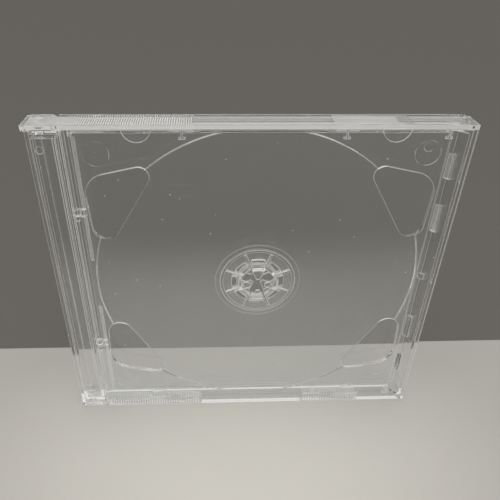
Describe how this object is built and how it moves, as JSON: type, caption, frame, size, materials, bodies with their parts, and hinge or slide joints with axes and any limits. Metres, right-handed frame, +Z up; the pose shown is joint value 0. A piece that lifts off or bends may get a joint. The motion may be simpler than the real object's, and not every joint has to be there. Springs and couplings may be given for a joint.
{
  "type": "double disc jewel case",
  "caption": "Flat hinged case of clear plastic that stores discs on both faces of a turning tray leaf, with finger notches, booklet tabs and ribbed grip edges.",
  "frame": {"origin": "middle of the closed case's footprint, on the floor under the long edge that it stands on", "axes": "+X along the long edge, away from the hinge; +Y from the lid's window to the back panel; +Z up"},
  "size_m": [0.142, 0.0104, 0.125],
  "materials": {
    "clear_lid": "polished clear polystyrene",
    "clear_base": "polished clear polystyrene",
    "clear_bar": "polished clear polystyrene",
    "clear_leaf": "polished clear polystyrene"
  },
  "bodies": {
    "base": {"base": "clear_base", "hinge_bar": "clear_bar"},
    "lid": {"lid": "clear_lid"},
    "leaf": {"disc_leaf": "clear_leaf"}
  },
  "joints": [
    {"name": "lid_hinge", "type": "hinge", "parent": "base", "child": "lid", "pos_m": [-0.0664, 0, 0.0625], "axis": [0, 0, -1], "range_deg": [0, 180]},
    {"name": "leaf_hinge", "type": "hinge", "parent": "base", "child": "leaf", "pos_m": [-0.0576, 0.0003, 0.0625], "axis": [0, 0, -1], "range_deg": [0, 105]}
  ],
  "couplings": [
    {"joint": "leaf_hinge", "follows": "lid_hinge", "ratio": 0.58}
  ]
}
